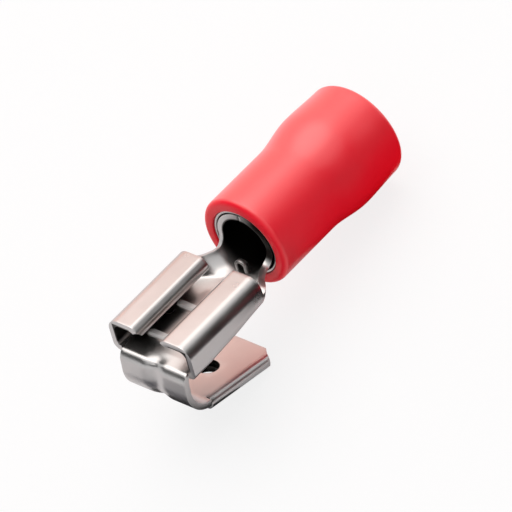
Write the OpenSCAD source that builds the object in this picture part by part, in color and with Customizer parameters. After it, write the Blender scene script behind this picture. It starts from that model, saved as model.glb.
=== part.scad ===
// Insulated piggyback spade terminal for a 4.8 mm tab.
// One folded strip of sheet makes the female receptacle, the male tab under it and the wire barrel.
// A thin metal sleeve surrounds the barrel, and a soft insulating sleeve covers both.
// The terminal lies as it comes to rest, on the tip of its tab and the rim of its sleeve.
// In the terminal's own frame +X leads out of the mouth, +Z is up and the floor's underside is at 0.

/* [Sheet] */
// Thickness of the folded sheet
sheet_t = 0.4; // [0.3:0.05:0.4]
// Width of the butt seams where two edges of the sheet meet
seam_w = 0.06; // [0.04:0.02:0.1]

/* [Male tab] */
// Width of the tab
tab_w = 4.8; // [4.6:0.1:5.2]
// Straight length of the tab behind its bend
tab_flat_l = 5.75; // [5.2:0.05:6.2]
// Angle at which the tab falls away from the receptacle
tab_drop = 12; // [9:1:14]
// Size of the chamfers at the corners of the tip
tab_chamfer = 0.8; // [0.4:0.1:1.2]
// Diameter of the lock hole
tab_hole_d = 1.4; // [1.2:0.1:1.8]
// Distance from the lock hole to the tip
tab_hole_to_tip = 3.3; // [2.6:0.1:3.5]

/* [Front bend] */
// Outer radius of the upper turn, where the floor rolls over the lip
bend_top_r = 1.1; // [1:0.05:1.2]
// Angle of the upper turn
bend_top_turn = 85; // [80:1:88]
// Height of the flat face between the two turns
bend_face_l = 0.4; // [0.2:0.1:0.6]
// Outer radius of the lower turn
bend_low_r = 2; // [1.9:0.05:2.1]
// Distance from the mouth back to where the floor starts to roll over
bend_back = 0.63; // [0.55:0.01:0.7]
// Width of the relief slit beside the bend
slit_w = 0.08; // [0.05:0.01:0.12]
// Width of the crease down the middle of the bend
crease_w = 1; // [0.6:0.1:1.4]
// Depth of that crease
crease_d = 0.14; // [0.06:0.02:0.2]
// Angle from upright at which the crease starts, below the rib
crease_start = 54; // [50:1:60]

/* [Receptacle] */
// Length of the rolled box
box_l = 6.4; // [6:0.1:7]
// Side clearance between a mating tab and each wall
slot_clear = 0.27; // [0.15:0.01:0.35]
// How far the rolled edges close in on the thickness of a mating tab
grip = 0.15; // [0.05:0.05:0.25]
// Outer radius of the two bottom corners
corner_r = 0.5; // [0.45:0.05:0.6]
// Outer radius of the two shoulders
shoulder_r = 1.14; // [1.1:0.02:1.2]
// Angle of the shoulder, past level and down into the slot
shoulder_turn = 138; // [130:1:142]
// Flat stretch between shoulder and rolled edge
roll_flat = 0.25; // [0.2:0.05:0.4]
// Inner radius of the rolled edge
roll_r = 0.05; // [0.04:0.01:0.1]
// Angle of the rolled edge, back under the wing
roll_turn = 150; // [140:1:160]
// Flat stretch at the free end of the wing
roll_end = 0.25; // [0.1:0.05:0.3]
// Length over which the rolled edges are trimmed away as a lead-in
lead_l = 1.3; // [1:0.1:1.6]
// Length of the two ridges pressed across the floor
ridge_l = 3.3; // [2.8:0.1:3.6]
// Height of the ridges
ridge_h = 0.1; // [0.06:0.02:0.14]
// Width of the wide rear ridge, the front one being half as wide
ridge_w = 0.5; // [0.4:0.05:0.6]
// Distance from the mouth to the rear ridge
ridge_back = 4.25; // [4:0.05:4.5]
// Distance from the mouth to the front ridge
ridge_front = 1.65; // [1.5:0.05:1.9]
// Width of the stiffening rib that crosses the lip
rib_w = 1; // [0.8:0.1:1.2]
// Height of that rib above the floor
rib_h = 0.14; // [0.1:0.02:0.18]
// Length of that rib
rib_l = 1.35; // [1:0.05:1.5]

/* [Barrel] */
// Inner diameter of the wire barrel
barrel_d = 3.2; // [3:0.1:3.4]
// Length of the wire barrel
barrel_l = 5.6; // [5:0.1:6]
// Length of the open neck between receptacle and barrel
neck_l = 2.4; // [2.2:0.1:2.8]
// Height of the neck's edge
neck_h = 1.3; // [1.2:0.05:1.5]
// Radius with which that edge rises to the barrel
neck_rise_r = 0.65; // [0.5:0.05:0.9]
// Width of the small arch that stops the wire in front of the barrel
stop_w = 0.66; // [0.6:0.02:0.8]
// Height of that arch above the floor
stop_h = 0.76; // [0.6:0.02:0.85]
// Thickness of the arch
stop_t = 0.18; // [0.14:0.02:0.22]
// Length of the arch along the neck
stop_l = 0.3; // [0.2:0.05:0.4]
// Gap from the arch to the barrel
stop_gap = 0.55; // [0.4:0.05:0.7]

/* [Support sleeve] */
// Wall of the metal support sleeve
support_t = 0.25; // [0.2:0.05:0.3]
// Length of the support sleeve
support_l = 9.1; // [8.8:0.1:9.4]
// Depth of its front edge behind the front of the insulating sleeve
support_recess = 0.1; // [0.05:0.05:0.3]
// Depth of the lead-in chamfer inside its front edge
support_lead = 0.1; // [0.05:0.01:0.12]
// Length of that chamfer
support_lead_l = 0.4; // [0.2:0.1:0.6]

/* [Insulating sleeve] */
// Wall of the insulating sleeve
sleeve_t = 0.75; // [0.6:0.05:0.9]
// Length of the insulating sleeve
sleeve_l = 10.8; // [10.5:0.1:11.5]
// Distance from its front rim to the start of the flare
flare_start = 4.9; // [4.5:0.1:5.2]
// Length of the flare
flare_l = 2.8; // [2.4:0.1:3]
// Growth in radius over the flare
flare_r = 0.35; // [0.25:0.05:0.45]
// Loss of radius between the flare and the rear rim
tail_r = 0.1; // [0:0.02:0.14]
// Rounding of the rims
rim_r = 0.34; // [0.25:0.01:0.36]

/* [Hidden] */
$fn = 64;
HULL_FN = 32;
eps = 0.01;
// Each flat reaches this far back into the bend before it
lap = 0.01;
// Wider than the terminal, for cuts that go right across
across = 12;
FLARE_STEPS = 14;
RIM_STEPS = 6;
FAN_STEPS = 4;
HALF_TURN = 180;

// The doubled tab, and the slot that a tab of that thickness is pushed into
tab_t = 2 * sheet_t;
tab_cut_h = 4 * tab_t;
slot_h = tab_t - grip;
slot_half = tab_w / 2 + slot_clear;

// Mid-sheet radii of the section's bends, and the height of its shoulder centres
corner_mid = corner_r - sheet_t / 2;
shoulder_mid = shoulder_r - sheet_t / 2;
roll_mid = roll_r + sheet_t / 2;
wall_mid = slot_half + sheet_t / 2;
shoulder_rise = (shoulder_mid - roll_mid) * sin(shoulder_turn) + roll_flat * cos(shoulder_turn);
shoulder_z = sheet_t + slot_h + roll_mid + sheet_t / 2 - shoulder_rise;
wing_steps = [
    ["flat", wall_mid - corner_mid],
    ["bend", corner_mid, 90],
    ["flat", shoulder_z - corner_r],
    ["bend", shoulder_mid, shoulder_turn],
    ["flat", roll_flat],
    ["bend", roll_mid, roll_turn],
    ["flat", roll_end]
];

// The strip that leaves the floor, rolls over the lip and runs back as the doubled tab
bend_top_mid = bend_top_r - sheet_t / 2;
bend_low_mid = bend_low_r - sheet_t / 2;
bend_low_turn = HALF_TURN - tab_drop - bend_top_turn;
strip_lap = 0.3;
strip_steps = [
    ["flat", strip_lap, 0, "single"],
    ["bend", bend_top_mid, bend_top_turn, "single"],
    ["flat", bend_face_l, 0, "single"],
    ["bend", bend_low_mid, bend_low_turn, "single"],
    ["flat", tab_flat_l, 0, "doubled"]
];
strip_x = -bend_back - strip_lap;
rib_front = -bend_back + bend_top_mid;
strip_z = sheet_t / 2;

// End of a strip in the side view, as x, z and the angle it has turned downward
function strip_end(steps, i = 0, x = strip_x, z = strip_z, h = 0) =
    i == len(steps) ? [x, z, h]
    : steps[i][0] == "flat"
        ? strip_end(steps, i + 1, x + steps[i][1] * cos(h), z - steps[i][1] * sin(h), h)
        : strip_end(steps, i + 1,
            x + steps[i][1] * (sin(h + steps[i][2]) - sin(h)),
            z + steps[i][1] * (cos(h + steps[i][2]) - cos(h)),
            h + steps[i][2]);

// Barrel, and the sleeves that fit round it
barrel_r = barrel_d / 2 + sheet_t;
barrel_x = -box_l - neck_l;
sleeve_x = barrel_x + support_recess;
support_r = barrel_r + support_t;
sleeve_r = support_r + sleeve_t;
rear_r = sleeve_r + flare_r - tail_r;

// The smooth growth of a sleeve's radius with the distance s behind its front rim
function flare(s) =
    let (u = min(1, max(0, (s - flare_start) / flare_l)))
    flare_r * u * u * (3 - 2 * u);

// Rest: the line that touches the tab's tip and the sleeve's rear rim from below
tip = strip_end(strip_steps);
tip_x = tip[0] + (tab_t - sheet_t / 2) * sin(tip[2]);
tip_z = tip[1] + (tab_t - sheet_t / 2) * cos(tip[2]);
rim_x = sleeve_x - sleeve_l + rim_r;
rim_low_z = barrel_r - rear_r + rim_r;
rim_top_z = barrel_r + rear_r - rim_r;
rim_reach = norm([tip_x - rim_x, rim_low_z - tip_z]);
rest_tilt = atan2(rim_low_z - tip_z, tip_x - rim_x) - asin(rim_r / rim_reach);

// Origin: on that line, under the middle of the resting terminal's length
low_turn_start = strip_end([for (i = [0:2]) strip_steps[i]]);
nose_x = low_turn_start[0] - bend_low_mid * sin(bend_top_turn);
nose_z = low_turn_start[1] - bend_low_mid * cos(bend_top_turn);
front_x = nose_x * cos(rest_tilt) - nose_z * sin(rest_tilt) + bend_low_r;
back_x = rim_x * cos(rest_tilt) - rim_top_z * sin(rest_tilt) - rim_r;
rest_x = (front_x + back_x) / 2;
rest_z = tip_x * sin(rest_tilt) + tip_z * cos(rest_tilt);

module rest() {
    translate([-rest_x, 0, -rest_z]) rotate([0, -rest_tilt, 0]) children();
}

// A band of sheet that turns left by an angle round a mid-sheet radius
module turned_band(r, turn) {
    reach = 2 * (r + sheet_t);
    difference() {
        intersection() {
            circle(r + sheet_t / 2);
            polygon(concat([[0, 0]],
                [for (i = [0:FAN_STEPS]) reach * [sin(turn * i / FAN_STEPS), -cos(turn * i / FAN_STEPS)]]));
        }
        circle(r - sheet_t / 2);
    }
}

// The edge view of a folded sheet: flats and left turns, one after the other
module folded_section(steps, i = 0) {
    if (i < len(steps)) {
        if (steps[i][0] == "flat") {
            translate([-lap, -sheet_t / 2]) square([steps[i][1] + lap, sheet_t]);
            translate([steps[i][1], 0]) folded_section(steps, i + 1);
        } else {
            translate([0, steps[i][1]]) {
                turned_band(steps[i][1], steps[i][2]);
                rotate(steps[i][2]) translate([0, -steps[i][1]]) folded_section(steps, i + 1);
            }
        }
    }
}

// Sections across the tab strip: x is outward through the sheet, y across the strip
module strip_section(kind) {
    if (kind == "doubled") {
        difference() {
            union() {
                translate([-sheet_t / 2, -tab_w / 2 + sheet_t]) square([tab_t, tab_w - tab_t]);
                for (side = [-1, 1])
                    translate([sheet_t / 2, side * (tab_w / 2 - sheet_t)]) circle(sheet_t);
            }
            translate([sheet_t / 2, -seam_w / 2]) square([tab_t, seam_w]);
        }
    } else {
        translate([-sheet_t / 2, -tab_w / 2]) square([sheet_t, tab_w]);
    }
}

// The strip itself, followed step by step, with any children placed at its end
module swept_strip(steps, draw = true, i = 0) {
    if (i < len(steps)) {
        if (steps[i][0] == "flat") {
            if (draw) translate([-lap, 0, 0]) rotate(180, [1, 0, 1])
                linear_extrude(steps[i][1] + lap) strip_section(steps[i][3]);
            translate([steps[i][1], 0, 0]) swept_strip(steps, draw, i + 1) children();
        } else {
            translate([0, 0, -steps[i][1]]) {
                if (draw)
                    rotate([0, -90, -90]) rotate_extrude(angle = steps[i][2])
                        translate([steps[i][1], 0]) strip_section(steps[i][3]);
                rotate([0, steps[i][2], 0]) translate([0, 0, steps[i][1]])
                    swept_strip(steps, draw, i + 1) children();
            }
        }
    } else {
        children();
    }
}

// Places children at the start of the tab strip, heading forward
module at_strip() {
    translate([strip_x, 0, strip_z]) children();
}

// What the crease takes out of the bend: a round groove that keeps to the lower turn's centre
module crease_cut() {
    crease_r = (crease_w * crease_w / 4 + crease_d * crease_d) / (2 * crease_d);
    translate([nose_x, 0, nose_z]) rotate([0, crease_start, 0]) rotate([0, -90, -90])
        rotate_extrude(angle = HALF_TURN - tab_drop - crease_start)
            translate([bend_low_r - crease_d + crease_r, 0]) circle(crease_r);
}

// What is cut from the tab: the chamfers of the tip and the lock hole
module tab_cuts() {
    corner_side = tab_chamfer * sqrt(2);
    for (side = [-1, 1])
        translate([0, side * tab_w / 2, 0]) rotate([0, 0, 45])
            cube([corner_side, corner_side, tab_cut_h], center = true);
    translate([-tab_hole_to_tip, 0, 0]) cylinder(h = tab_cut_h, d = tab_hole_d, center = true);
}

// A low ridge across the floor, round on top
module floor_ridge(back, w) {
    r = (w * w / 4 + ridge_h * ridge_h) / (2 * ridge_h);
    intersection() {
        translate([-back, 0, sheet_t + ridge_h - r]) rotate([90, 0, 0])
            cylinder(h = ridge_l, r = r, center = true);
        translate([-back - w, -ridge_l, sheet_t / 2]) cube([2 * w, 2 * ridge_l, sheet_t]);
    }
}

// The stiffening rib that runs along the floor and over the lip
module lip_rib() {
    r = (rib_w * rib_w / 4 + rib_h * rib_h) / (2 * rib_h);
    intersection() {
        translate([rib_front - rib_l, 0, sheet_t + rib_h - r]) rotate([0, 90, 0]) cylinder(h = rib_l, r = r);
        translate([rib_front - rib_l, -rib_w, sheet_t / 2]) cube([rib_l, 2 * rib_w, sheet_t]);
    }
}

// The rolled box, its floor cut free beside the bend and its rolled edges trimmed at the mouth
module receptacle() {
    roll_z = sheet_t + slot_h;
    difference() {
        translate([-box_l, 0, 0]) rotate([90, 0, 90]) linear_extrude(box_l)
            for (side = [0, 1]) mirror([side, 0]) translate([0, sheet_t / 2]) folded_section(wing_steps);
        translate([-bend_back - strip_lap / 2, -tab_w / 2 - slit_w, -sheet_t])
            cube([box_l, tab_w + 2 * slit_w, 3 * sheet_t]);
        translate([0, slot_half - shoulder_mid / 2, 0]) rotate([90, 0, 0])
            linear_extrude(2 * slot_half - shoulder_mid)
                polygon([[eps, roll_z - eps], [eps, roll_z + shoulder_mid], [-lead_l, roll_z - eps]]);
    }
    floor_ridge(ridge_front, ridge_w / 2);
    floor_ridge(ridge_back, ridge_w);
    lip_rib();
}

// One end of the neck: the box's lower half, and the barrel's circle
module neck_ends(inset) {
    translate([-box_l, 0, 0]) rotate([90, 0, 90]) linear_extrude(eps) {
        for (side = [-1, 1])
            translate([side * (slot_half + sheet_t - corner_r), corner_r])
                circle(corner_r - inset, $fn = HULL_FN);
        translate([inset - slot_half - sheet_t, corner_r])
            square([2 * (slot_half + sheet_t - inset), shoulder_z]);
    }
    translate([barrel_x - eps, 0, barrel_r]) rotate([0, 90, 0])
        cylinder(h = eps, r = barrel_r - inset, $fn = HULL_FN);
}

// The open trough between box and barrel, its low edge rising where it meets the barrel
module neck() {
    rise_x = barrel_x + neck_rise_r;
    difference() {
        hull() neck_ends(0);
        hull() neck_ends(sheet_t);
        translate([rise_x, 0, neck_h + neck_rise_r]) rotate([90, 0, 0])
            cylinder(h = across, r = neck_rise_r, center = true);
        translate([rise_x, -across / 2, neck_h]) cube([neck_l, across, across]);
        translate([barrel_x, -across / 2, neck_h + neck_rise_r]) cube([neck_l, across, across]);
    }
}

// The small arch on the neck's floor that stops the wire
module wire_stop() {
    translate([barrel_x + stop_gap, 0, sheet_t]) rotate([90, 0, 90]) linear_extrude(stop_l) difference() {
        stop_arch(stop_w / 2);
        stop_arch(stop_w / 2 - stop_t);
    }
}

module stop_arch(r) {
    spring_z = stop_h - stop_w / 2;
    translate([0, spring_z]) circle(r);
    translate([-r, -sheet_t / 2]) square([2 * r, spring_z + sheet_t / 2]);
}

// The rolled barrel with its butt seam on top
module barrel() {
    difference() {
        translate([barrel_x, 0, barrel_r]) rotate([0, -90, 0]) cylinder(h = barrel_l, r = barrel_r);
        translate([barrel_x + eps, 0, barrel_r]) rotate([0, -90, 0])
            cylinder(h = barrel_l + 2 * eps, d = barrel_d);
        translate([barrel_x - barrel_l - eps, -seam_w / 2, barrel_r])
            cube([barrel_l + 2 * eps, seam_w, 2 * barrel_r]);
    }
}

// A sleeve turned round the barrel's axis, its profile drawn as [radius, distance behind the rim]
module round_the_barrel(front_x) {
    translate([front_x, 0, barrel_r]) rotate([0, -90, 0]) rotate_extrude() children();
}

// The folded contact: receptacle, tab, neck and barrel in one strip
module contact() {
    color("silver") rest() difference() {
        union() {
            receptacle();
            difference() {
                at_strip() swept_strip(strip_steps);
                crease_cut();
            }
            neck();
            wire_stop();
            barrel();
        }
        at_strip() swept_strip(strip_steps, false) tab_cuts();
    }
}

// The metal support sleeve, straight over the barrel and flared behind it
module support_sleeve() {
    stations = [for (i = [0:FLARE_STEPS]) flare_start + flare_l * i / FLARE_STEPS];
    outside = [for (s = stations) [support_r + flare(s), s - support_recess]];
    inside = [for (i = [FLARE_STEPS:-1:0]) [barrel_r + flare(stations[i]), stations[i] - support_recess]];
    color("gainsboro") rest() round_the_barrel(barrel_x)
        polygon(concat(
            [[support_r, 0]], outside,
            [[support_r + flare_r, support_l], [barrel_r + flare_r, support_l]],
            inside,
            [[barrel_r, support_lead_l], [barrel_r + support_lead, 0]]));
}

// The soft insulating sleeve with its flare and rounded rims
module insulating_sleeve() {
    stations = [for (i = [0:FLARE_STEPS]) flare_start + flare_l * i / FLARE_STEPS];
    outside = [for (s = stations) [sleeve_r + flare(s), s]];
    inside = [for (i = [FLARE_STEPS:-1:0]) [support_r + flare(stations[i]), stations[i]]];
    quarter = [for (i = [0:RIM_STEPS]) 90 * i / RIM_STEPS];
    front = [for (a = quarter) [sleeve_r - rim_r + rim_r * sin(a), rim_r - rim_r * cos(a)]];
    rear = [for (a = quarter) [rear_r - rim_r + rim_r * cos(a), sleeve_l - rim_r + rim_r * sin(a)]];
    color("crimson") rest() round_the_barrel(sleeve_x)
        polygon(concat(
            [[support_r, support_recess], [support_r + support_recess, 0]],
            front, outside, rear,
            [[support_r + flare_r + support_recess, sleeve_l]],
            [[support_r + flare_r, sleeve_l - support_recess]],
            inside));
}

contact();
support_sleeve();
insulating_sleeve();
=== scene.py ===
import bmesh
import bpy
import math
from mathutils import Matrix, Vector


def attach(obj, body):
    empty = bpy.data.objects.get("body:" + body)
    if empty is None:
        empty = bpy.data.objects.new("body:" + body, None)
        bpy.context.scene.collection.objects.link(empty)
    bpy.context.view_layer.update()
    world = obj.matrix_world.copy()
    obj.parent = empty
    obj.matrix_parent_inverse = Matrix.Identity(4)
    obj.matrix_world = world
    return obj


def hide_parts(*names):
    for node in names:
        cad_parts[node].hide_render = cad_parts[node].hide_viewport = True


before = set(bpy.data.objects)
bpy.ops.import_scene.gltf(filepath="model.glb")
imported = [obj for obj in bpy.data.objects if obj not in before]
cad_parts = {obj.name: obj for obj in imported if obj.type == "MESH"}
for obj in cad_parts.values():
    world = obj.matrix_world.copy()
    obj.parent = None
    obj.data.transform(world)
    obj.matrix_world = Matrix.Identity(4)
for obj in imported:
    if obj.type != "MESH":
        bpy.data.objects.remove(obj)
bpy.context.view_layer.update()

# Folded contact
# One strip of tin-plated brass sheet, stamped flat and folded: a floor with two rolled wings,
# a bend over the lip that runs back as the doubled male tab, and an open neck and barrel behind.
sheet_t = 0.39
floor_z = 0.2
wall_y = 2.87
box_l = 6.4
neck_l = 2.4
barrel_x = -8.8
barrel_l = 5.6
axis_z = 2.0
tilt = math.radians(15.4101)
lie = (
    Matrix.Translation((0.00962062, 0, 0.00630861))
    @ Matrix.Rotation(-tilt, 4, "Y")
    @ Matrix.Scale(0.001, 4)
)

# Half of it is drawn in mm along the middle of the sheet, with X out of the mouth and Z up
bm = bmesh.new()
along = bm.verts.layers.float.new("along")


def lead_on(end, way, rows=1):
    """Draws the section's end on along a straight way."""
    for i in range(rows):
        end = bmesh.ops.extrude_vert_indiv(bm, verts=[end])["verts"][0]
        end.co += Vector([part / rows for part in way])
    return end


def curl_on(end, y, z, degrees, rows):
    """Draws the section's end on round a centre, turning from the floor up and over."""
    made = bmesh.ops.spin(
        bm, geom=[end], cent=(end.co.x, y, z), axis=(1, 0, 0), dvec=(0, 0, 0),
        angle=math.radians(degrees), steps=rows, use_merge=False,
    )["geom_last"]
    return [g for g in made if isinstance(g, bmesh.types.BMVert)][0]


def draw_edges(edges, way, rows=1):
    """Draws a row of edges on along a straight way and gives the last row."""
    for i in range(rows):
        made = bmesh.ops.extrude_edge_only(bm, edges=edges)["geom"]
        verts = [g for g in made if isinstance(g, bmesh.types.BMVert)]
        bmesh.ops.translate(bm, verts=verts, vec=[part / rows for part in way])
        new = set(verts)
        edges = [g for g in made if isinstance(g, bmesh.types.BMEdge) and set(g.verts) <= new]
    return edges


def turn_edges(edges, cent, axis, degrees, rows):
    """Turns a row of edges round an axis and gives the last row."""
    verts = list(dict.fromkeys(v for e in edges for v in e.verts))
    made = bmesh.ops.spin(
        bm, geom=edges + verts, cent=cent, axis=axis, dvec=(0, 0, 0),
        angle=math.radians(degrees), steps=rows, use_merge=False,
    )["geom_last"]
    return [g for g in made if isinstance(g, bmesh.types.BMEdge)]


# Half the section at the rear of the box starts as a trough, from the middle of the floor to
# the edge that runs on along the neck, and each point keeps its share of the way round it
edge_z = 1.224
corner_r = 0.3
floor_ys = [0, 0.03, 0.12, 0.22, 0.32, 0.42, 0.52, 0.62, 0.72, 0.82, 0.92, 1.0]
floor_ys += [1.2, 1.4, 1.6, 1.8, 2.0, 2.2, 2.4, 2.48, 2.57]
end = bm.verts.new((-box_l, 0, floor_z))
for a, b in zip(floor_ys, floor_ys[1:]):
    end = lead_on(end, (0, b - a, 0))
end = curl_on(end, wall_y - corner_r, floor_z + corner_r, 90, 10)
end = lead_on(end, (0, 0, edge_z - floor_z - corner_r), 4)
bm.verts.ensure_lookup_table()
run = 0
for i, v in enumerate(bm.verts):
    if i:
        run += (v.co - bm.verts[i - 1].co).length
    v[along] = run
for v in bm.verts:
    v[along] /= run

# The wing goes on from there: up, over a shoulder, level, down and back in a roll
shoulder_r, shoulder_z = 0.655, 1.51
fold_y, fold_z = 1.35, 1.935
roll_y, roll_z = 1.235, 1.82
end = lead_on(end, (0, 0, shoulder_z - edge_z), 2)
end = curl_on(end, wall_y - shoulder_r, shoulder_z, 90, 20)
end = lead_on(end, (0, fold_y - wall_y + shoulder_r, 0), 5)
end = curl_on(end, fold_y, fold_z, 41.5, 9)
end = lead_on(end, (0, -0.1216, -0.1075), 2)
end = curl_on(end, roll_y, roll_z, 150, 18)
lead_on(end, (0, 0.2156, 0.0438))
on_wing = -1
for v in bm.verts:
    if v.co.z > edge_z + 0.001:
        v[along] = on_wing
rear_section = bm.edges[:]

# The box, drawn forward from that section with closer rows at the ridges and the lip
rear_ridge, front_ridge = -4.25, -1.65
lip_x = -0.756
beside_ridge = [0.3, 0.2, 0.15, 0.13, 0.11, 0.09, 0.07, 0.05, 0.02]
stations = [-6.4, -6.2, -6.0, -5.8, -5.5, -5.2, -4.9, -4.7]
stations += [rear_ridge - d for d in beside_ridge]
stations += [rear_ridge + d for d in reversed(beside_ridge)]
stations += [-3.8, -3.5, -3.1, -2.7, -2.3, -2.1]
stations += [front_ridge - d for d in beside_ridge]
stations += [front_ridge + d for d in reversed(beside_ridge)]
stations += [-1.25, -1.16, -1.04, -0.94, -0.86, -0.78, lip_x]
stations += [-0.6, -0.45, -0.3, -0.15, 0]
row = rear_section
for a, b in zip(stations, stations[1:]):
    row = draw_edges(row, (b - a, 0, 0))

# The trough's corners grow rounder towards the rear. Behind the box it narrows to the barrel,
# and its edge rises there in a quarter circle.
corner_radii = [
    (0, 0.3), (-1.5, 0.32), (-3.3, 0.5), (-4.2, 0.62), (-5.1, 0.8), (-5.9, 0.93), (-6.4, 1.0),
]
box_end_r, neck_grow = 1.0, 1.15
neck_lift = 0.076
rise_x, rise_r = -8.1, 0.7
narrowing = 1.07


def ease(t):
    """Rises softly from 0 to 1."""
    t = min(1, max(0, t))
    return t * t * (3 - 2 * t)


def trough(x):
    """Half width, corner radius and edge height of the trough at one place along the strip."""
    if x >= -box_l:
        for (xa, ra), (xb, rb) in zip(corner_radii, corner_radii[1:]):
            if x >= xb:
                return wall_y, ra + (rb - ra) * (xa - x) / (xa - xb), edge_z
    u = (-box_l - x) / neck_l
    back = max(0, rise_x - x)
    rise = rise_r - math.sqrt(max(0, rise_r * rise_r - back * back))
    half = wall_y - narrowing * (0.4 * u + 0.6 * ease(u))
    radius = min(half, box_end_r + neck_grow * ease(u * 2.4))
    return half, radius, edge_z + neck_lift * ease(u * 5) + rise


def settle(v):
    """Puts a vertex of the floor or wall where its share of the trough's section lies."""
    half, r, top = trough(v.co.x)
    rise = top - floor_z
    turn = math.acos(max(-1, 1 - rise / r)) if rise < r else math.pi / 2
    wall = max(0, rise - r)
    s = v[along] * (half - r + r * turn + wall)
    if s <= half - r:
        v.co.y, v.co.z = s, floor_z
    elif s <= half - r + r * turn:
        a = (s - half + r) / r
        v.co.y, v.co.z = half - r + r * math.sin(a), floor_z + r * (1 - math.cos(a))
    else:
        v.co.y, v.co.z = half, floor_z + r + s - (half - r + r * turn)


for v in bm.verts:
    if v[along] >= 0 and v.co.x < -1.5:
        settle(v)

# The neck, drawn back from the box's lower half, and the barrel behind it
row = [e for e in rear_section if min(v[along] for v in e.verts) >= 0]
neck_stations = [-box_l - 0.17 * i for i in range(1, 11)]
neck_stations += [rise_x - rise_r * math.sin(math.radians(11.25 * i)) for i in range(1, 9)]
for x in neck_stations:
    row = draw_edges(row, (0, 0, 0))
    for v in {v for e in row for v in e.verts}:
        v.co.x = x
        settle(v)
top = max((v for e in row for v in e.verts), key=lambda v: v.co.z)
known = set(bm.edges)
curl_on(top, 0, axis_z, 89, 18)
row += [e for e in bm.edges if e not in known]
draw_edges(row, (-barrel_l, 0, 0), 8)

# The floor is cut free beside the bend, and turns down over the lip
lip_half = 2.4
slit_back, slit_side = -0.78, 2.48
loose = []
for f in bm.faces:
    c = f.calc_center_median()
    on_lip = c.x > lip_x and c.y < lip_half
    in_slit = c.x > slit_back and lip_half < c.y < slit_side
    if c.z < 0.35 and (on_lip or in_slit):
        loose.append(f)
bmesh.ops.delete(bm, geom=loose, context="FACES")
lip = [
    e for e in bm.edges
    if all(
        abs(v.co.x - lip_x) < 1e-4 and v.co.y < lip_half + 0.01 and v.co.z < 0.3
        for v in e.verts
    )
]
known = set(bm.verts)
lip_centre = Vector((-0.1115, 0, -0.1058))
face_centre = Vector((-0.4562, 0, -0.395))
low_centre = Vector((-1.49171, 0, -1.17692))
row = turn_edges(lip, (lip_x, 0, -0.2), (0, 1, 0), 5, 2)
row = draw_edges(row, (0.63128, 0, -0.05528), 8)
row = turn_edges(row, lip_centre, (0, 1, 0), 45, 14)
row = turn_edges(row, face_centre, (0, 1, 0), 35, 12)
row = draw_edges(row, (0.06006, 0, -0.68598), 6)
row = turn_edges(row, low_centre, (0, 1, 0), 83, 24)

# A bead is pressed in across the lip and down the middle of the bend
bead_half = 0.9
bead_deep, bead_low = 0.18, 0.14
low_turn_z = -1.03
for v in bm.verts:
    if v not in known:
        spread = math.cos(min(1, abs(v.co.y) / bead_half) * math.pi / 2) ** 2
        if v.co.z > low_turn_z:
            off = v.co - lip_centre
            a = math.radians(min(85, max(5, math.degrees(math.atan2(off.x, off.z)))))
            deep = bead_deep * ease((v.co.x + 0.65) / 0.7)
            deep -= (bead_deep - bead_low) * ease((-0.1 - v.co.z) / 0.8)
        else:
            off = v.co - low_centre
            a = math.atan2(off.x, off.z)
            deep = bead_low * ease((172 - math.degrees(a)) / 30)
        v.co -= Vector((math.sin(a), 0, math.cos(a))) * spread * deep

# Two low ridges are pressed across the floor
ridge_h, ridge_half = 0.24, 1.5
for v in bm.verts:
    if v.co.z < 0.25 and -5 < v.co.x < -1.2 and v.co.y < 1.9:
        ends = 1 - ease((abs(v.co.y) - ridge_half) / 0.25)
        for x in (front_ridge, rear_ridge):
            v.co.z += ridge_h * ends * (1 - ease((abs(v.co.x - x) - 0.05) / 0.1))

# The tab runs back straight, 12 degrees down, with its lock hole
tab_back, tab_fall = 0.9781476, 0.2079117
tab_dir = Vector((-tab_back, 0, -tab_fall))
tab_out = Vector((tab_fall, 0, -tab_back))
tab_l, tab_half = 5.75, 2.0
low_r = 1.8
tab_start = low_centre + low_r * tab_out
row = [e for e in row if max(v.co.y for v in e.verts) < tab_half + 0.01]
known_faces = set(bm.faces)
tab_stations = [0, 0.1, 0.5, 0.95]
tab_stations += [1.45 + 0.1 * i for i in range(21)]
tab_stations += [3.9, 4.4, 4.9, 5.35, tab_l]
for a, b in zip(tab_stations, tab_stations[1:]):
    row = draw_edges(row, tab_dir * (b - a))


def along_tab(co):
    """How far along the tab a point lies."""
    return (co - tab_start).dot(tab_dir)


hole_s, hole_r, lower_hole_r = 2.45, 0.7, 0.61
hole_centre = tab_start + tab_dir * hole_s
window = [
    f for f in bm.faces
    if f not in known_faces
    and abs(along_tab(f.calc_center_median()) - hole_s) < 1 and f.calc_center_median().y < 1
]
rim = [
    e for f in window for e in f.edges
    if len([g for g in e.link_faces if g in window]) == 1
    and max(v.co.y for v in e.verts) > 1e-4
]
bmesh.ops.delete(bm, geom=window, context="FACES")
circle = draw_edges([e for e in rim if e.is_valid], (0, 0, 0))
for v in {v for e in circle for v in e.verts}:
    v.co = hole_centre + (v.co - hole_centre).normalized() * hole_r

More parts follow.
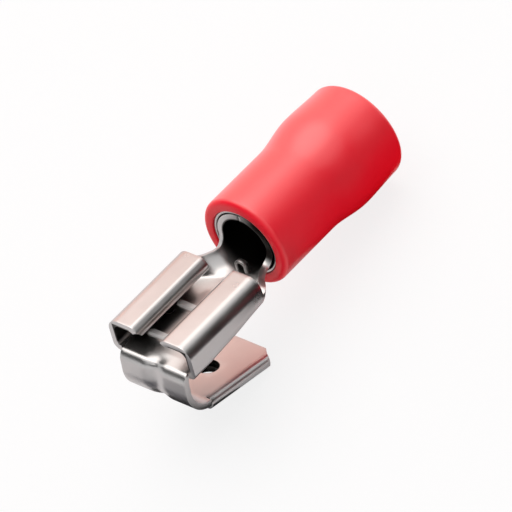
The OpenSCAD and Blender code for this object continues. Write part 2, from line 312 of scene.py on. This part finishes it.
# The sides of the blank are folded under the tab until they meet in a seam below
layer = 0.4
half_seam = 0.026
upper = [
    f for f in bm.faces
    if f not in known_faces and along_tab(f.calc_center_median()) > 0.1
]
lower = bmesh.ops.duplicate(bm, geom=upper)["geom"]
lower_faces = [g for g in lower if isinstance(g, bmesh.types.BMFace)]
lower_verts = [g for g in lower if isinstance(g, bmesh.types.BMVert)]
bmesh.ops.translate(bm, verts=lower_verts, vec=tab_out * layer)
in_seam = [f for f in lower_faces if f.calc_center_median().y < half_seam]
bmesh.ops.delete(bm, geom=in_seam, context="FACES")
for v in lower_verts:
    if v.is_valid:
        out = v.co - hole_centre - tab_out * layer
        if out.length < hole_r + 0.01:
            v.co -= out.normalized() * (hole_r - lower_hole_r)
side = [
    e for f in upper for e in f.edges
    if all(abs(v.co.y - tab_half) < 1e-4 for v in e.verts)
]
turn_edges(side, tab_start + Vector((0, tab_half, 0)) + tab_out * layer / 2, tab_dir, 180, 12)
bmesh.ops.remove_doubles(bm, verts=bm.verts, dist=0.0005)


def cut_off(faces, point, outward):
    """Cuts these faces along a plane and takes away what lies outside it."""
    bmesh.ops.bisect_plane(
        bm, geom=list(dict.fromkeys(g for f in faces for g in [f, *f.edges, *f.verts])),
        plane_co=point, plane_no=outward, clear_outer=True,
    )


# The corners of the tip are cut off, the rolls are trimmed at the mouth, and the half is mirrored
tip_half = 1.6
middles = {f: f.calc_center_median() for f in bm.faces}
tip = [f for f, c in middles.items() if c.z < -2 and along_tab(c) > 4]
rolls = [f for f, c in middles.items() if c.z > 0.9 and c.y < 1.9 and c.x > -3]
cut_off(tip, tab_start + tab_dir * tab_l + Vector((0, tip_half, 0)), tab_dir + Vector((0, 1, 0)))
cut_off(rolls, (0, 0, 1.95), (0.94, 0, -1.3))
bmesh.ops.mirror(
    bm, geom=bm.verts[:] + bm.edges[:] + bm.faces[:], matrix=Matrix.Identity(4),
    merge_dist=1e-4, axis="Y",
)


def place_of(element):
    """A number that puts points, edges and faces in the order of where they lie."""
    points = [element] if isinstance(element, bmesh.types.BMVert) else element.verts
    return sum(v.co.dot((1, 1.7321, 0.5671)) for v in points) / len(points)


# The mesh is put in a fixed order before and after near points are joined, so that each run
# gives the same one
for group in (bm.verts, bm.edges, bm.faces):
    group.sort(key=place_of)
bmesh.ops.remove_doubles(bm, verts=bm.verts, dist=0.003)
for group in (bm.verts, bm.edges, bm.faces):
    group.sort(key=place_of)
bmesh.ops.recalc_face_normals(bm, faces=bm.faces)
strip = bpy.data.meshes.new("contact_strip")
bm.to_mesh(strip)
bm.free()

# The strip gets its thickness and its rounded edges
blank = bpy.data.objects.new("contact_blank", strip)
bpy.context.scene.collection.objects.link(blank)
thick = blank.modifiers.new("sheet", "SOLIDIFY")
thick.thickness = sheet_t
thick.offset = 0
thick.use_even_offset = True
thick.use_quality_normals = True
rounded = blank.modifiers.new("edges", "BEVEL")
rounded.width = 0.09
rounded.segments = 3
rounded.profile = 0.5
rounded.limit_method = "ANGLE"
rounded.angle_limit = math.radians(50)
bpy.context.view_layer.update()
depsgraph = bpy.context.evaluated_depsgraph_get()
folded = bpy.data.meshes.new_from_object(blank.evaluated_get(depsgraph))
bpy.data.objects.remove(blank)

# The small arch on the floor of the neck is pressed up from the sheet and drawn thin
arch_x, arch_half, arch_z = -8.25, 0.24, 0.8
arch_leg, arch_l, arch_t = 0.5, 0.3, 0.18
bm = bmesh.new()
foot = bm.verts.new((arch_x, arch_half, arch_z - arch_leg))
foot = lead_on(foot, (0, 0, arch_leg))
foot = curl_on(foot, 0, arch_z, 180, 16)
lead_on(foot, (0, 0, -arch_leg))
draw_edges(bm.edges[:], (arch_l, 0, 0))
bmesh.ops.solidify(bm, geom=bm.faces[:], thickness=arch_t)
bmesh.ops.recalc_face_normals(bm, faces=bm.faces)
sharp = [e for e in bm.edges if len(e.link_faces) == 2 and e.calc_face_angle() > 0.8]
bmesh.ops.bevel(
    bm, geom=sharp, offset=0.03, offset_type="OFFSET", segments=2, profile=0.5,
    affect="EDGES", material=-1,
)


def finish_piece(name, mesh):
    """Lays the drawn mesh in its place, smooth, as an object that shades evenly."""
    bm.transform(lie)
    for f in bm.faces:
        f.smooth = True
    bm.to_mesh(mesh)
    bm.free()
    piece = bpy.data.objects.new(name, mesh)
    bpy.context.scene.collection.objects.link(piece)
    even = piece.modifiers.new("even_normals", "WEIGHTED_NORMAL")
    even.keep_sharp = False
    return piece


bm.from_mesh(folded)
contact = finish_piece("folded_contact", folded)
contact.modifiers["even_normals"].weight = 80

# The tin and the sleeve share a faint cloud and a fine grain
surface = bpy.data.node_groups.new("worked_surface", "ShaderNodeTree")
for name in ("Cloud Scale", "Cloud Detail", "Grain Scale", "Grain Strength", "Grain Depth"):
    surface.interface.new_socket(name, in_out="INPUT", socket_type="NodeSocketFloat")
surface.interface.new_socket("Cloud", in_out="OUTPUT", socket_type="NodeSocketFloat")
surface.interface.new_socket("Normal", in_out="OUTPUT", socket_type="NodeSocketVector")
nodes, links = surface.nodes, surface.links
given = nodes.new("NodeGroupInput")
result = nodes.new("NodeGroupOutput")
place = nodes.new("ShaderNodeTexCoord")
cloud = nodes.new("ShaderNodeTexNoise")
links.new(place.outputs["Object"], cloud.inputs["Vector"])
links.new(given.outputs["Cloud Scale"], cloud.inputs["Scale"])
links.new(given.outputs["Cloud Detail"], cloud.inputs["Detail"])
links.new(cloud.outputs["Fac"], result.inputs["Cloud"])
grain = nodes.new("ShaderNodeTexNoise")
grain.inputs["Detail"].default_value = 2
links.new(place.outputs["Object"], grain.inputs["Vector"])
links.new(given.outputs["Grain Scale"], grain.inputs["Scale"])
relief = nodes.new("ShaderNodeBump")
links.new(given.outputs["Grain Strength"], relief.inputs["Strength"])
links.new(given.outputs["Grain Depth"], relief.inputs["Distance"])
links.new(grain.outputs["Fac"], relief.inputs["Height"])
links.new(relief.outputs["Normal"], result.inputs["Normal"])

# Tin plating: pale and a little warm, with a soft uneven polish. Shade is painted dark in the
# barrel, under the wings and in the hole, and light is painted pale on the floor and the crests of
# the ridges.
tin = bpy.data.materials.new("tin_plating")
tin.use_nodes = True
nodes, links = tin.node_tree.nodes, tin.node_tree.links
shader = nodes["Principled BSDF"]
place = nodes.new("ShaderNodeTexCoord")


def work_surface(amounts):
    """Gives a material the grain of the worked surface, and returns its cloud."""
    node = nodes.new("ShaderNodeGroup")
    node.node_tree = surface
    for name, amount in amounts.items():
        node.inputs[name].default_value = amount
    links.new(node.outputs["Normal"], shader.inputs["Normal"])
    return node.outputs["Cloud"]


def mixed(factor, a, b):
    """One colour that turns into another. The first may come from another step."""
    node = nodes.new("ShaderNodeMix")
    node.data_type = "RGBA"
    links.new(factor, node.inputs["Factor"])
    if isinstance(a, tuple):
        node.inputs["A"].default_value = a
    else:
        links.new(a, node.inputs["A"])
    node.inputs["B"].default_value = b
    return node.outputs["Result"]


def ranged(value, low, high, at_low, at_high, shape="LINEAR"):
    """Carries a value from one range over to another."""
    node = nodes.new("ShaderNodeMapRange")
    node.interpolation_type = shape
    node.inputs["From Min"].default_value = low
    node.inputs["From Max"].default_value = high
    node.inputs["To Min"].default_value = at_low
    node.inputs["To Max"].default_value = at_high
    links.new(value, node.inputs["Value"])
    return node.outputs["Result"]


def fade(value, full, none):
    """Falls softly from 1 to 0 between two values."""
    if full < none:
        return ranged(value, full, none, 1, 0, "SMOOTHSTEP")
    return ranged(value, none, full, 0, 1, "SMOOTHSTEP")


def joined(operation, *values):
    """Joins two or more values by one operation."""
    first = values[0]
    for value in values[1:]:
        node = nodes.new("ShaderNodeMath")
        node.operation = operation
        links.new(first, node.inputs[0])
        links.new(value, node.inputs[1])
        first = node.outputs["Value"]
    return first


def vector_step(operation, value, fixed=None):
    """One step of vector arithmetic with a fixed vector."""
    node = nodes.new("ShaderNodeVectorMath")
    node.operation = operation
    links.new(value, node.inputs[0])
    if fixed:
        node.inputs[1].default_value = fixed
    return node.outputs["Value" if operation in ("LENGTH", "DOT_PRODUCT") else "Vector"]


in_mm = nodes.new("ShaderNodeMapping")
in_mm.inputs["Scale"].default_value = (1000, 1000, 1000)
in_mm.inputs["Rotation"].default_value = (0, tilt, 0)
in_mm.inputs["Location"].default_value = lie.inverted().translation
links.new(place.outputs["Object"], in_mm.inputs["Vector"])
spot = in_mm.outputs["Vector"]
parts = nodes.new("ShaderNodeSeparateXYZ")
links.new(spot, parts.inputs["Vector"])
at_x, at_y, at_z = (parts.outputs[axis] for axis in "XYZ")
beside = nodes.new("ShaderNodeMath")
beside.operation = "ABSOLUTE"
links.new(at_y, beside.inputs[0])
aside = beside.outputs["Value"]

# Painted shade, near black: the barrel's bore, the hollows under the wings, the hole, and the side
# of the barrel's front edge that lies in the sleeve's shade
off_axis = vector_step("SUBTRACT", spot, (0, 0, axis_z))
from_axis = vector_step("LENGTH", vector_step("MULTIPLY", off_axis, (0, 1, 1)))
bore = joined("MULTIPLY", fade(from_axis, 1.64, 1.72), fade(at_x, -8.9, -7.4))
hollow = joined(
    "MULTIPLY", fade(aside, 2.72, 2.78), fade(aside, 1.5, 1.4), fade(at_z, 2.02, 2.08),
    fade(at_z, 0.75, 0.5), fade(at_x, -6.2, -6.5),
)
off_hole = vector_step("SUBTRACT", spot, tuple(hole_centre))
sunk = nodes.new("ShaderNodeCombineXYZ")
links.new(vector_step("DOT_PRODUCT", off_hole, tuple(tab_dir)), sunk.inputs["X"])
links.new(at_y, sunk.inputs["Y"])
hole = fade(vector_step("LENGTH", sunk.outputs["Vector"]), 0.705, 0.73)
hole = joined("MULTIPLY", hole, fade(at_z, -2.6, -2.2))
rim_side = joined(
    "MULTIPLY", fade(from_axis, 2.0, 2.06), fade(at_x, -8.75, -8.3), fade(at_y, 1.1, 0.1)
)
painted_shade = joined("MAXIMUM", bore, hollow, hole, rim_side)

# Painted light: a pan along the middle of the floor and the crests of the ridges are painted pale
low = joined("MULTIPLY", fade(at_z, 0.6, 0.75), fade(at_z, 0.3, 0.1), fade(at_x, -5.6, -6.2))
painted_light_pan = joined("MULTIPLY", low, fade(aside, 0.5, 1.2), fade(at_x, -1.5, -1.1))
painted_light_crests = joined(
    "MULTIPLY", low, fade(at_z, 0.51, 0.46), fade(at_x, -1.45, -1.35), fade(aside, 1.6, 1.75)
)
blotch = work_surface({
    "Cloud Scale": 420, "Cloud Detail": 3,
    "Grain Scale": 2400, "Grain Strength": 0.05, "Grain Depth": 0.00001,
})
colour = mixed(blotch, (0.475, 0.465, 0.46, 1), (0.55, 0.54, 0.535, 1))
# The painted shade turns the tin near black, and the painted light makes it pale and pinkish
colour = mixed(painted_shade, colour, (0.025, 0.022, 0.02, 1))
colour = mixed(painted_light_pan, colour, (0.86, 0.72, 0.68, 1))
colour = mixed(painted_light_crests, colour, (0.97, 0.94, 0.93, 1))
links.new(colour, shader.inputs["Base Color"])
matt = nodes.new("ShaderNodeMath")
matt.operation = "MULTIPLY_ADD"
matt.inputs[1].default_value = 0.3
links.new(joined("MAXIMUM", painted_light_pan, painted_light_crests), matt.inputs[0])
links.new(ranged(blotch, 0.3, 0.7, 0.27, 0.34), matt.inputs[2])
links.new(matt.outputs["Value"], shader.inputs["Roughness"])
# Where light is painted on the pan and the crests, the tin is less metallic
metal = joined("MINIMUM", ranged(painted_light_pan, 0, 1, 1, 0.4), ranged(painted_light_crests, 0, 1, 1, 0.1))
links.new(metal, shader.inputs["Metallic"])
contact.data.materials.clear()
contact.data.materials.append(tin)
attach(contact, "root")
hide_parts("contact")

# Support sleeve
# A thin tube of the same tin-plated metal, slid over the barrel.
# It is belled out towards its rear to take the wire's insulation.
tube_outer, tube_inner, tube_l = 2.25, 2.0, 9.1
tube_recess = 0.1
bell_start, bell_l, bell_grow = 4.9, 2.8, 0.35
bm = bmesh.new()


def flare(s):
    """How much wider the bell is at a distance behind the rim of the red sleeve."""
    return bell_grow * ease((s - bell_start) / bell_l)


def turned(profile, x, rows):
    """Spins a closed profile of radius and distance behind the rim round the barrel's axis."""
    first = bm.verts.new((x - profile[0][1], 0, axis_z + profile[0][0]))
    last = first
    for r, s in profile[1:]:
        last = bmesh.ops.extrude_vert_indiv(bm, verts=[last])["verts"][0]
        last.co = (x - s, 0, axis_z + r)
    bmesh.ops.contextual_create(bm, geom=[last, first])
    bmesh.ops.spin(
        bm, geom=bm.verts[:] + bm.edges[:], cent=(0, 0, axis_z), axis=(1, 0, 0), dvec=(0, 0, 0),
        angle=2 * math.pi, steps=rows, use_merge=True,
    )
    bmesh.ops.remove_doubles(bm, verts=bm.verts, dist=0.0002)
    bmesh.ops.recalc_face_normals(bm, faces=bm.faces)


bell = [bell_start + bell_l * i / 20 for i in range(21)]
front_edge = [(2.07, 0.06), (2.11, 0.0), (2.2, 0.0), (2.235, 0.016)]
outside = [(tube_outer, 0.06), (tube_outer, 4.0)]
outside += [(tube_outer + flare(s), s - tube_recess) for s in bell]
rear_edge = [(2.6, 9.04), (2.55, tube_l), (2.4, tube_l), (2.35, 9.04)]
inside = [(tube_inner + flare(s), s - tube_recess) for s in reversed(bell)] + [(tube_inner, 0.4)]
turned(front_edge[2:] + outside + rear_edge + inside + front_edge[:2], barrel_x, 128)
tube = finish_piece("support_tube", bpy.data.meshes.new("support_tube"))
tube.data.materials.append(tin)
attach(tube, "root")
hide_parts("support_sleeve")

# Insulating sleeve
# A soft red PVC sleeve, moulded with a round front rim and a swollen rear half.
# It is pressed over the support sleeve and the barrel.
sleeve_r, sleeve_l, rim_r = 3.0, 10.8, 0.34
tail_start, tail_shrink = 7.7, 0.1
bm = bmesh.new()
quarter = [math.radians(90 * i / 10) for i in range(11)]
rim_in = sleeve_r - rim_r
rear_in = sleeve_r + bell_grow - tail_shrink - rim_r
front = [(rim_in + rim_r * math.sin(a), rim_r - rim_r * math.cos(a)) for a in quarter]
back = [(rear_in + rim_r * math.cos(a), sleeve_l - rim_r + rim_r * math.sin(a)) for a in quarter]
outer = [(sleeve_r, s) for s in (1.2, 2.2, 3.2, 4.2)]
outer += [
    (sleeve_r + flare(s) - tail_shrink * ease((s - tail_start) / bell_l), s)
    for s in [bell_start + 5.5 * i / 32 for i in range(32)]
]
rear_mouth = [(2.7, sleeve_l), (2.64, 10.77), (2.6, 10.68)]
inner = [(tube_outer + flare(s), s) for s in reversed(bell)]
inner += [(tube_outer, 2.5), (tube_outer, 0.1)]
front_mouth = [(2.27, 0.02), (2.33, 0.0)]
turned(front_mouth + front + outer + back + rear_mouth + inner, barrel_x + tube_recess, 144)
sleeve = finish_piece("red_sleeve", bpy.data.meshes.new("red_sleeve"))

# Red PVC: satin, faintly cloudy, with the fine grain of the mould and a matt front rim
red = bpy.data.materials.new("red_pvc")
red.use_nodes = True
nodes, links = red.node_tree.nodes, red.node_tree.links
shader = nodes["Principled BSDF"]
shader.inputs["IOR"].default_value = 1.38
shader.inputs["Specular Tint"].default_value = (1, 0.85, 0.66, 1)
shader.inputs["Coat IOR"].default_value = 1.85
shader.inputs["Coat Roughness"].default_value = 0.36
shader.inputs["Coat Tint"].default_value = (1, 0.97, 0.95, 1)
place = nodes.new("ShaderNodeTexCoord")
cloud = work_surface({
    "Cloud Scale": 330, "Cloud Detail": 4,
    "Grain Scale": 5200, "Grain Strength": 0.25, "Grain Depth": 0.00002,
})
hue = mixed(cloud, (0.95, 0.006, 0.028, 1), (0.99, 0.010, 0.034, 1))
links.new(hue, shader.inputs["Base Color"])
links.new(ranged(cloud, 0, 1, 0.32, 0.4), shader.inputs["Roughness"])
sleeve_axis = (math.cos(tilt), 0, math.sin(tilt))
rim_back, rim_front = 0.00193, 0.00222
lengthways = vector_step("DOT_PRODUCT", place.outputs["Object"], sleeve_axis)
links.new(fade(lengthways, rim_back, rim_front), shader.inputs["Coat Weight"])
sleeve.data.materials.append(red)
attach(sleeve, "root")
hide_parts("insulating_sleeve")

# Studio
# A plain pale floor under soft light from the upper left. Cards that the camera doesn't see stand
# round it: dark ones for the metal to mirror, a red one and a warm panel. Sizes are in metres.
bm = bmesh.new()
bmesh.ops.create_grid(bm, x_segments=1, y_segments=1, size=1.5)
floor_mesh = bpy.data.meshes.new("studio_floor")
bm.to_mesh(floor_mesh)
bm.free()
floor = bpy.data.objects.new("studio_floor", floor_mesh)
floor.location = (0, 0, -0.00002)
bpy.context.scene.collection.objects.link(floor)
pale = bpy.data.materials.new("pale_floor")
pale.use_nodes = True
nodes, links = pale.node_tree.nodes, pale.node_tree.links
shader = nodes["Principled BSDF"]
shader.inputs["Base Color"].default_value = (0.90, 0.91, 0.94, 1)
shader.inputs["Roughness"].default_value = 0.9
white = nodes.new("ShaderNodeEmission")
white.inputs["Color"].default_value = (1, 1, 1, 1)

# The camera sees the floor as a near white that keeps the shadow, and mirrors see a little of it
white_to_camera, white_in_mirrors = 0.82, 0.1
ray = nodes.new("ShaderNodeLightPath")
mirrored = joined("MAXIMUM", ray.outputs["Is Glossy Ray"], ray.outputs["Is Transmission Ray"])
share = nodes.new("ShaderNodeMath")
share.operation = "MULTIPLY_ADD"
share.inputs[1].default_value = white_to_camera
links.new(ray.outputs["Is Camera Ray"], share.inputs[0])
links.new(ranged(mirrored, 0, 1, 0, white_in_mirrors), share.inputs[2])
blend = nodes.new("ShaderNodeMixShader")
links.new(share.outputs["Value"], blend.inputs["Fac"])
links.new(shader.outputs["BSDF"], blend.inputs[1])
links.new(white.outputs["Emission"], blend.inputs[2])
links.new(blend.outputs["Shader"], nodes["Material Output"].inputs["Surface"])
floor.data.materials.append(pale)


def swept(inner_end, outer_end, start, spread, rows):
    """Sweeps a straight edge round the middle of the floor into a card."""
    edge = [bm.verts.new(inner_end), bm.verts.new(outer_end)]
    bmesh.ops.contextual_create(bm, geom=edge)
    bmesh.ops.rotate(
        bm, verts=bm.verts, cent=(0, 0, 0), matrix=Matrix.Rotation(math.radians(start), 3, "Z")
    )
    bmesh.ops.spin(
        bm, geom=bm.verts[:] + bm.edges[:], cent=(0, 0, 0), axis=(0, 0, 1), dvec=(0, 0, 0),
        angle=math.radians(spread), steps=rows, use_merge=False,
    )


def put_up(name, skin):
    """Makes the drawn mesh a card that the camera doesn't see."""
    card_mesh = bpy.data.meshes.new(name)
    bm.to_mesh(card_mesh)
    bm.free()
    card = bpy.data.objects.new(name, card_mesh)
    card.visible_camera = False
    bpy.context.scene.collection.objects.link(card)
    card.data.materials.append(skin)
    return card


def card_skin(name, colour=None):
    """A matt skin for a card."""
    skin = bpy.data.materials.new(name)
    skin.use_nodes = True
    face = skin.node_tree.nodes["Principled BSDF"]
    face.inputs["Roughness"].default_value = 0.9
    face.inputs["Specular IOR Level"].default_value = 0
    if colour:
        face.inputs["Base Color"].default_value = colour
    return skin


def height():
    """The height of a place on a card above the floor."""
    where = nodes.new("ShaderNodeTexCoord")
    split = nodes.new("ShaderNodeSeparateXYZ")
    links.new(where.outputs["Object"], split.inputs["Vector"])
    return split.outputs["Z"]


# Dark upright cards, two on the right of the picture and one on the left before the mouth
dark = card_skin("dark_card")
nodes, links = dark.node_tree.nodes, dark.node_tree.links
shader = nodes["Principled BSDF"]
shade = mixed(ranged(height(), 0.01, 0.07, 0, 1), (0.03, 0.02, 0.019, 1), (0.010, 0.013, 0.013, 1))
links.new(shade, shader.inputs["Base Color"])
card_reach, card_foot = 0.25, 0.0005
for name, azimuth, low, high, spread in (
    ("right_card", 103, 0, 26, 76),
    ("upper_card", 130, 25, 36.5, 54),
    ("front_card", -40, 16, 43, 70),
):
    bm = bmesh.new()
    ends = [
        (card_reach * math.cos(a), 0, card_foot + card_reach * math.sin(a))
        for a in (math.radians(low), math.radians(high))
    ]
    swept(ends[0], ends[1], azimuth - spread / 2, spread, 16)
    put_up(name, dark)

# Flat cards on the floor, one black and one red, keep its white out of the sleeve's shaded side.
# The red one is clear from below, so that it doesn't tint the floor.
black = card_skin("black_card", (0.015, 0.015, 0.018, 1))
crimson = card_skin("red_card", (0.75, 0.008, 0.03, 1))
nodes, links = crimson.node_tree.nodes, crimson.node_tree.links
shader = nodes["Principled BSDF"]
below = nodes.new("ShaderNodeNewGeometry")
clear = nodes.new("ShaderNodeBsdfTransparent")
blend = nodes.new("ShaderNodeMixShader")
links.new(below.outputs["Backfacing"], blend.inputs["Fac"])
links.new(shader.outputs["BSDF"], blend.inputs[1])
links.new(clear.outputs["BSDF"], blend.inputs[2])
links.new(blend.outputs["Shader"], nodes["Material Output"].inputs["Surface"])
near_end = 0.003
for name, level, reach, start, spread, skin in (
    ("side_card", 0.0003, 0.25, 76, 88, black),
    ("red_card", 0.0005, 0.03, 109, 55, crimson),
):
    bm = bmesh.new()
    swept((near_end, 0, level), (reach, 0, level), start, spread, 24)
    for f in bm.faces:
        f.normal_update()
        if f.normal.z < 0:
            f.normal_flip()
    card = put_up(name, skin)
    card.visible_diffuse = skin == crimson
    card.visible_shadow = False

# Two small round ones darken the foot of the bend and grade its right half
slate = card_skin("slate_card", (0.08, 0.085, 0.105, 1))
round_r, round_z = 0.005, 0.0003
for name, x, y, skin in (
    ("foot_card", 0.0120, 0.0020, black),
    ("grade_card", 0.0185, -0.0027, slate),
):
    bm = bmesh.new()
    bmesh.ops.create_circle(
        bm, cap_ends=True, segments=32, radius=round_r,
        matrix=Matrix.Translation((x, y, round_z)),
    )
    card = put_up(name, skin)
    card.visible_diffuse = False
    card.visible_shadow = False

# A warm panel low on the far side shows in the tops and the tab
warm = bpy.data.materials.new("warm_panel")
warm.use_nodes = True
nodes, links = warm.node_tree.nodes, warm.node_tree.links
shader = nodes["Principled BSDF"]
shader.inputs["Base Color"].default_value = (0.8, 0.55, 0.48, 1)
shader.inputs["Roughness"].default_value = 0.9
shader.inputs["Emission Strength"].default_value = 1
climb = ranged(height(), 0.05, 0.12, 0, 1, "SMOOTHSTEP")
glow = mixed(climb, (0.84, 0.54, 0.48, 1), (0.80, 0.72, 0.69, 1))
links.new(glow, shader.inputs["Emission Color"])
bm = bmesh.new()
swept((0.24, 0, card_foot), (0.22, 0, 0.19), -185, 75, 16)
put_up("warm_panel", warm)

# The world is white to the camera and in mirrors, and lights the rest less
world = bpy.data.worlds.new("studio")
bpy.context.scene.world = world
world.use_nodes = True
nodes, links = world.node_tree.nodes, world.node_tree.links
sky = nodes["Background"]
sky.inputs["Color"].default_value = (1, 1, 1, 1)
sky_light = 0.57
ray = nodes.new("ShaderNodeLightPath")
seen = joined(
    "MAXIMUM", ray.outputs["Is Camera Ray"], ray.outputs["Is Glossy Ray"],
    ray.outputs["Is Transmission Ray"],
)
links.new(ranged(seen, 0, 1, sky_light, 1), sky.inputs["Strength"])

key = bpy.data.lights.new("key_softbox", "AREA")
key.shape = "DISK"
key.size = 0.6
key.energy = 1.58
key.color = (1, 0.93, 0.88)
key_lamp = bpy.data.objects.new("key_softbox", key)
key_distance = 0.45
aim = Vector((-0.23, -0.28, 0.93)).normalized()
key_lamp.location = aim * key_distance
key_lamp.rotation_euler = aim.to_track_quat("Z", "Y").to_euler()
bpy.context.scene.collection.objects.link(key_lamp)

# A long lens looks down on the mouth from the front, as in the photograph. Its directions and
# its stand are written in the contact's own frame.
right = Vector((-0.61376344, 0.76243895, -0.20489336))
down = Vector((0.61605422, 0.30021846, -0.72824864))
ahead = Vector((-0.49373236, -0.5731978, -0.65396685))
stand = Vector((131.58, 163.57, 187.11))
pose = Matrix((right, -down, -ahead)).transposed().to_4x4()
pose = Matrix.Rotation(-tilt, 4, "Y") @ pose
pose.translation = lie @ stand
cam = bpy.data.cameras.new("photo_camera")
cam.sensor_width = 36
cam.lens = 352.11
cam.clip_start = 0.01
cam.clip_end = 10
camera = bpy.data.objects.new("photo_camera", cam)
camera.matrix_world = pose
bpy.context.scene.collection.objects.link(camera)
bpy.context.scene.camera = camera
bpy.context.scene.view_settings.view_transform = "Standard"
